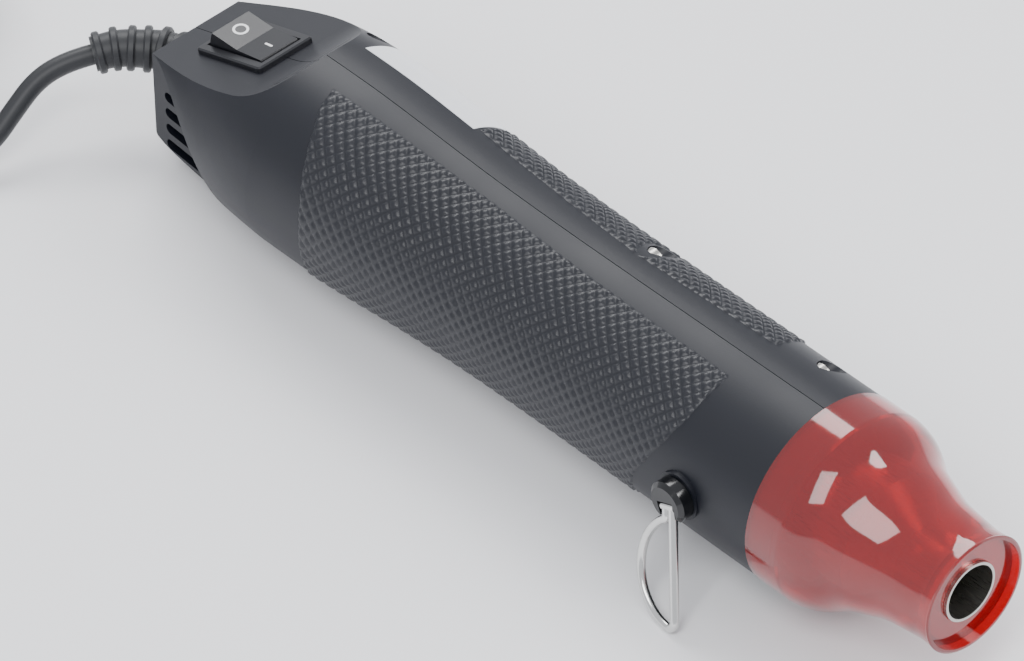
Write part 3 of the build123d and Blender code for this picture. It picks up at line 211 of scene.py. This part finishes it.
PIECE_FINISH = {
    "spark_eroded_abs": ["left_shell", "right_shell"],
    "polished_red_polycarbonate": ["nozzle_cover"],
    "drawn_stainless": ["outlet_tube", "heater_barrel", "motor_can", "motor_shaft", "motor_armature", "stand_washer",
                        "stand_screw", "casing_screws", "clamp_screws"],
    "plated_wire": ["stand_ring"],
    "moulded_nylon": ["switch_housing", "rocker", "rectifier_diodes", "cord_tie"],
    "polished_black_abs": ["stand_boss"],
    "extruded_pvc": ["strain_relief", "inner_lead", "plug_body", "cord_run", "cord_coil", "cord_tail"],
    "pressed_mica": ["mica_sleeve", "mica_cross", "mica_discs"],
    "filled_nylon": ["front_bush", "heater_holder", "fan_shroud", "motor_end_bell", "cord_clamp"],
    "oxidised_nichrome": ["heating_coil"],
    "lacquered_board": ["rectifier_board"],
    "sintered_ferrite": ["motor_magnets"],
    "sleeved_wire": ["heater_leads"],
    "white_nylon": ["fan_wheel", "thermal_fuse"],
    "stamped_brass": ["switch_terminals", "plug_blades"],
    "film_label": ["rating_label"],
}


def finish(name):
    return bpy.data.materials[name]


# shapes

def grid_mesh(name, points, material, smooth=True, kept=None):
    """Puts a rows x columns x 3 array of points into a mesh of quads, one per cell with a kept corner."""
    rows, columns = points.shape[:2]
    index = np.arange(rows * columns).reshape(rows, columns)
    quads = np.stack([index[:-1, :-1], index[1:, :-1], index[1:, 1:], index[:-1, 1:]], axis=-1).reshape(-1, 4)
    points = points.reshape(-1, 3)
    if kept is not None:
        quads = quads[kept.reshape(-1)[quads].any(axis=1)]
        used, quads = np.unique(quads, return_inverse=True)
        points, quads = points[used], quads.reshape(-1, 4)
    mesh = bpy.data.meshes.new(name)
    mesh.vertices.add(len(points))
    mesh.vertices.foreach_set("co", points.reshape(-1).astype(np.float32))
    mesh.loops.add(quads.size)
    mesh.loops.foreach_set("vertex_index", quads.reshape(-1).astype(np.int32))
    mesh.polygons.add(len(quads))
    mesh.polygons.foreach_set("loop_start", np.arange(0, quads.size, 4, dtype=np.int32))
    mesh.polygons.foreach_set("loop_total", np.full(len(quads), 4, dtype=np.int32))
    mesh.polygons.foreach_set("use_smooth", np.full(len(quads), smooth))
    mesh.update(calc_edges=True)
    mesh.materials.append(material)
    piece = bpy.data.objects.new(name, mesh)
    bpy.context.collection.objects.link(piece)
    return piece


def casing_radii(places):
    """The casing's outer radius at places along X: a ray from outside, at an angle with no screw hole."""
    shell = frame["nodes"]["left_shell"].data
    tree = BVHTree.FromPolygons([v.co for v in shell.vertices], [p.vertices for p in shell.polygons])
    radii = []
    for x in places:
        found = []
        for angle in (40, 60, 135):
            out = Vector((0, math.sin(math.radians(angle)), math.cos(math.radians(angle))))
            hit = tree.ray_cast(Vector((x, 0, 0)) + out * 0.05, -out)[0]
            found.append((hit - Vector((x, 0, 0))).length)
        radii.append(max(found))
    return np.array(radii)


def wave(distance, pitch):
    """Triangle wave: 1 in the middle of a cell and 0 at its grooves."""
    return 1 - np.abs(2 * np.mod(distance / pitch, 1) - 1)


# edges of the grip's two panels, in mm along X and degrees from the top
REAR_EDGE = ([0, 24, 37, 51, 70, 86, 110, 135, 180], [-179, -177.4, -174.9, -172.8, -170.4, -169.6, -170.2, -173, -176])
FRONT_EDGE = ([0, 15, 31, 47, 66, 82, 100, 130, 180], [-61, -61.2, -61.9, -62.8, -65.7, -69.1, -73, -77, -80])
LEFT_TOP = ([-180, -150, -130, -99, -60], [13, 12, 12, 15, 16])
RIGHT_TOP = ([-180, -150, -130, -100, -60], [26, 23, 20, 15, 19])
SCREW_HOLES = ((-100.0, 17.0), (-100.0, -17.0))


def grip_panel(name, side, material):
    """Diamond knurl on the casing.

    Two sets of grooves run at 45 degrees to the axis: p = (x + s)/sqrt2, q = (x - s)/sqrt2 with s the arc length.
    The height is the smaller of the two triangle waves, cut off flat at the tips, and outside the panel's
    edges the sheet dips below the casing.
    """
    sizes = bpy.context.scene.heat_tool_sizes
    step, pitch = sizes.knurl_step, sizes.knurl_pitch
    xs = np.arange(-180 * MM, -60 * MM, step)
    stations = np.linspace(xs[0], xs[-1], 80)
    radii = np.interp(xs, stations, casing_radii(stations))
    low = math.degrees(sizes.grip_low_edge)
    count = int(math.radians(low - 10) * 22.5 * MM / step)
    degrees = np.linspace(10, low + 1, count)
    x, deg = np.meshgrid(xs, degrees, indexing="ij")
    radius = np.repeat(radii[:, None], count, axis=1)
    arc = np.radians(deg) * 22 * MM
    ridge = np.minimum(wave((x + arc) / math.sqrt(2), pitch), wave((x - arc) / math.sqrt(2), pitch))
    height = np.minimum(ridge * 1.45, 0.85) / 0.85 * sizes.knurl_height
    rear = np.interp(deg, *REAR_EDGE) * MM
    front = np.interp(deg, *FRONT_EDGE) * MM
    top = np.interp(x / MM, *(LEFT_TOP if side > 0 else RIGHT_TOP))
    inside = np.minimum(np.minimum(x - rear, front - x), np.minimum((deg - top), (low - deg)) * 22 * MM * math.pi / 180)
    if side < 0:
        z = radius * np.cos(np.radians(deg))
        for hole_x, hole_z in SCREW_HOLES:
            inside = np.minimum(inside, np.hypot(x - hole_x * MM, z - hole_z * MM) - 3.4 * MM)
        label = np.array([v.co for v in frame["nodes"]["rating_label"].data.vertices])
        low_edge = np.degrees(np.arctan2(-label[:, 1], label[:, 2]))
        past = np.maximum(x - label[:, 0].max(), (deg - low_edge.max()) * 22 * MM * math.pi / 180)
        inside = np.minimum(inside, past - 0.4 * MM)
    share = np.clip(inside / (0.5 * MM), 0, 1)
    lifted = radius + np.where(share > 0, 0.03 * MM + height * share, 0) - (1 - share) * 0.2 * MM
    a = np.radians(deg) * side
    points = np.stack([x, lifted * np.sin(a), lifted * np.cos(a)], axis=-1)
    if side > 0:
        points, share = points[::-1], share[::-1]
    return grid_mesh(name, points, material, kept=share > 0)


def rocker_place():
    """Where the rocker sits: its pivot, and two of its own axes at rest (along, up)."""
    joint = next(j for j in frame["joints"] if j["name"] == "rocker_tilt")
    slope, throw = math.radians(18), math.radians(11)
    turn = throw - slope
    along = Vector((math.cos(turn), 0, -math.sin(turn)))
    up = Vector((math.sin(turn), 0, math.cos(turn)))
    return Vector(joint["pos_m"]), along, up


def rocker_mark(name, outline_low, outline_high, centre, face_tilt, material):
    """A thin raised mark: a band between two closed outlines, drawn on one of the rocker's two sloping faces.

    A point (a, b) of the outline lies at pivot + along*(centre + a) + across*b + up*(crown + |centre + a|*tan(tilt)).
    """
    pivot, along, up = rocker_place()
    across = Vector((0, 1, 0))
    rings = np.stack([outline_low, outline_low, outline_high, outline_high, outline_low])
    lift = np.array([0.0, 0.07, 0.07, 0.0, 0.0])[:, None] * MM - 0.02 * MM
    a = centre + rings[..., 0]
    up_by = 3.5 * MM + np.abs(a) * math.tan(face_tilt) + lift
    points = (np.array(pivot) + a[..., None] * np.array(along) + rings[..., 1][..., None] * np.array(across)
              + up_by[..., None] * np.array(up))
    return grid_mesh(name, points, material, smooth=False)


def ring_outline(radius, count=48):
    t = np.linspace(0, 2 * math.pi, count + 1)
    return np.stack([radius * np.cos(t), radius * np.sin(t)], axis=-1)


def bar_outline(length, width, count=12):
    """A rounded bar: two half circles joined by straight sides."""
    t = np.linspace(-math.pi / 2, math.pi / 2, count)
    cap = np.stack([np.cos(t), np.sin(t)], axis=-1) * width / 2
    shift = np.array([(length - width) / 2, 0])
    loop = np.concatenate([cap + shift, -cap - shift])
    return np.concatenate([loop, loop[:1]])


# the lead's route in mm, from the end of the strain relief
ENTRY = np.array([-227.8, 0.0, -5.0])
RUN = ENTRY + np.array([(-18.9, 12.6, -0.2), (-21.7, 17.3, -1.0), (-24.1, 24.0, -3.6), (-23.6, 31.2, -7.8),
                        (-22.9, 38.0, -11.9), (-25.2, 45.0, -14.9), (-30.9, 51.3, -15.9), (-39.2, 55.5, -15.9),
                        (-49.7, 57.5, -15.9), (-61.2, 57.6, -15.9), (-72.2, 57.0, -15.9), (-82.2, 57.0, -15.9)])
TAIL = np.array([(0, 0, 0), (5.3, 0, 0), (13.1, 1.8, 1.5), (18.7, 7.1, 4.1), (20.6, 14.2, 7.6),
                 (18.2, 21.7, 10.6), (12.8, 27.9, 10.8), (4.3, 30.7, 10.8), (-1, 30.7, 10.8)])
COIL_RADIUS, COIL_STEP, COIL_RISE = 29.8, 5.15, 5.1
COIL_LAYERS, LAYER_TURNS, CLIMB_TURNS, STRAIGHT = 4, 1.75, 0.5, 4.5


def coil_points(per_turn):
    """The coil's turns: the radius swings in and out at a steady rate, and each layer climbs where it turns back.

    Points stand 2% outside the turns, because the smooth line cuts inside its corners by that much.
    """
    span = LAYER_TURNS + CLIMB_TURNS
    total = COIL_LAYERS * span - CLIMB_TURNS
    turn = np.linspace(0, total, int(total * per_turn) + 1)
    layer = np.minimum((turn / span).astype(int), COIL_LAYERS - 1)
    climb = np.maximum(turn - layer * span - LAYER_TURNS, 0) / CLIMB_TURNS
    swing = np.mod(turn + CLIMB_TURNS / 2, 2 * span)
    radius = COIL_RADIUS - (np.minimum(swing, 2 * span - swing) - CLIMB_TURNS / 2) * COIL_STEP
    radius = radius / math.cos(math.pi / per_turn)
    centre = RUN[-1] + np.array([-STRAIGHT, -COIL_RADIUS, 0])
    a = 2 * math.pi * (turn + 1 / 4)
    return centre + np.stack([radius * np.cos(a), radius * np.sin(a),
                              COIL_RISE * (layer + (1 - np.cos(math.pi * climb)) / 2)], axis=-1)


def lead_points(per_turn):
    coil = coil_points(per_turn)
    tail = RUN[-1] + np.array([0, -2 * COIL_RADIUS, (COIL_LAYERS - 1) * COIL_RISE]) + TAIL
    return np.concatenate([RUN[:-1], coil, tail[1:]]) * MM


# the steps, each an operator

class HEATTOOL_OT_finishes(bpy.types.Operator):
    """Give every solid piece the finish of its real material"""
    bl_idname = "heattool.finishes"
    bl_label = "Finish solid pieces"

    def execute(self, context):
        make_finishes()
        for name, pieces in PIECE_FINISH.items():
            for piece in pieces:
                mesh = frame["nodes"][piece].data
                mesh.materials.clear()
                mesh.materials.append(finish(name))
        return {"FINISHED"}


class HEATTOOL_OT_grip(bpy.types.Operator):
    """Lay the diamond knurl on both sides of the casing"""
    bl_idname = "heattool.grip"
    bl_label = "Knurled grip"

    def execute(self, context):
        for name, side in (("grip_left", 1), ("grip_right", -1)):
            piece = grip_panel(name, side, finish("knurled_abs"))
            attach(piece, "casing")
        return {"FINISHED"}


class HEATTOOL_OT_switch_marks(bpy.types.Operator):
    """Print the ring and the bar on the rocker"""
    bl_idname = "heattool.switch_marks"
    bl_label = "Switch marks"

    def execute(self, context):
        sizes = context.scene.heat_tool_sizes
        outer, line = sizes.mark_width / 2, sizes.mark_line
        tilt = math.radians(6)
        ring = rocker_mark("mark_off", ring_outline(outer - line), ring_outline(outer), -4.4 * MM, tilt,
                           finish("pad_print"))
        bar = rocker_mark("mark_on", bar_outline(2.3 * MM, line) * 0.01, bar_outline(2.3 * MM, line), 4.4 * MM, tilt,
                          finish("pad_print"))
        for piece in (ring, bar):
            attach(piece, "rocker")
        return {"FINISHED"}


class HEATTOOL_OT_lead(bpy.types.Operator):
    """Lay the mains lead: out of the relief, down to the floor and into its tied coil, then to the plug"""
    bl_idname = "heattool.lead"
    bl_label = "Mains lead"

    def execute(self, context):
        sizes = context.scene.heat_tool_sizes
        points = lead_points(sizes.turn_points)
        curve = bpy.data.curves.new("lead", "CURVE")
        curve.dimensions = "3D"
        curve.bevel_depth = sizes.lead_diameter / 2
        curve.bevel_resolution = 5
        curve.resolution_u = 6
        curve.use_fill_caps = True
        spline = curve.splines.new("NURBS")
        spline.points.add(len(points) - 1)
        spline.points.foreach_set("co", np.c_[points, np.ones(len(points))].reshape(-1))
        spline.order_u = 3
        spline.use_endpoint_u = True
        curve.materials.append(finish("extruded_pvc"))
        lead = bpy.data.objects.new("lead", curve)
        context.collection.objects.link(lead)
        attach(lead, "casing")
        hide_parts("cord_run", "cord_coil", "cord_tail")
        return {"FINISHED"}


class HEATTOOL_OT_stage(bpy.types.Operator):
    """Set the pale floor, the soft lights and the camera"""
    bl_idname = "heattool.stage"
    bl_label = "Floor, lights and camera"

    def execute(self, context):
        paper = finish_of("seamless_paper", linear("#F4F4F6"), 0.8, 2.0, 0.01, tint=0.0)
        floor_z = -24.12 * MM
        mesh = bpy.data.meshes.new("floor")
        mesh.from_pydata([(-4, -4, floor_z), (4, -4, floor_z), (4, 4, floor_z), (-4, 4, floor_z)], [], [(0, 1, 2, 3)])
        mesh.materials.append(paper)
        floor = bpy.data.objects.new("floor", mesh)
        context.collection.objects.link(floor)

        world = bpy.data.worlds.new("studio")
        world.use_nodes = True
        world.node_tree.nodes["Background"].inputs["Color"].default_value = (0.93, 0.95, 1.0, 1)
        world.node_tree.nodes["Background"].inputs["Strength"].default_value = 1.0
        context.scene.world = world
        lamps = (
            # name, place, aimed at, width, height, watts
            ("key_box", (0.18, 0.62, 0.85), (-0.09, 0, 0), 0.5, 0.7, 7.0),
            ("side_box", (0.55, -0.5, 0.6), (-0.05, 0, 0), 0.25, 0.6, 5.0),
            ("rear_box", (-0.7, -0.3, 0.7), (-0.15, 0, 0), 0.6, 0.4, 6.0),
        )
        for name, place, target, width, height, watts in lamps:
            lamp = bpy.data.lights.new(name, "AREA")
            lamp.shape = "RECTANGLE"
            lamp.size, lamp.size_y, lamp.energy = width, height, watts
            stand = bpy.data.objects.new(name, lamp)
            stand.location = place
            stand.rotation_euler = (Vector(target) - Vector(place)).to_track_quat("-Z", "Y").to_euler()
            context.collection.objects.link(stand)

        view = bpy.data.cameras.new("camera")
        view.lens, view.sensor_width, view.clip_end = 316.40625, 36.0, 20.0
        camera = bpy.data.objects.new("camera", view)
        right = Vector((0.68375139, -0.72955605, -0.01523189))
        down = Vector((0.48228115, 0.46746942, -0.74086249))
        back = Vector((0.54762116, 0.49921971, 0.67148399))
        camera.matrix_world = (Matrix.Translation(Vector((877.7166, 920.0682, 1220.9717)) * MM)
                               @ Matrix((right, -down, back)).transposed().to_4x4())
        context.collection.objects.link(camera)
        context.scene.camera = camera
        return {"FINISHED"}


class HEATTOOL_PT_panel(bpy.types.Panel):
    """Sizes, colours and steps of the heat tool"""
    bl_idname = "HEATTOOL_PT_panel"
    bl_label = "Heat tool"
    bl_space_type = "VIEW_3D"
    bl_region_type = "UI"
    bl_category = "Heat tool"

    def draw(self, context):
        for group in (context.scene.heat_tool_sizes, context.scene.heat_tool_colours):
            for key in group.__annotations__:
                self.layout.prop(group, key)
        for step in STEPS:
            self.layout.operator(step.bl_idname)


STEPS = (HEATTOOL_OT_finishes, HEATTOOL_OT_stage, HEATTOOL_OT_lead, HEATTOOL_OT_grip, HEATTOOL_OT_switch_marks)
CLASSES = (HeatToolSizes, HeatToolColours) + STEPS + (HEATTOOL_PT_panel,)


def register():
    for each in CLASSES:
        bpy.utils.register_class(each)
    bpy.types.Scene.heat_tool_sizes = PointerProperty(type=HeatToolSizes)
    bpy.types.Scene.heat_tool_colours = PointerProperty(type=HeatToolColours)


def unregister():
    del bpy.types.Scene.heat_tool_colours
    del bpy.types.Scene.heat_tool_sizes
    for each in reversed(CLASSES):
        bpy.utils.unregister_class(each)


def main():
    register()
    bpy.ops.heattool.finishes()
    bpy.ops.heattool.stage()
    bpy.ops.heattool.lead()
    bpy.ops.heattool.grip()
    bpy.ops.heattool.switch_marks()


if __name__ == "__main__":
    main()
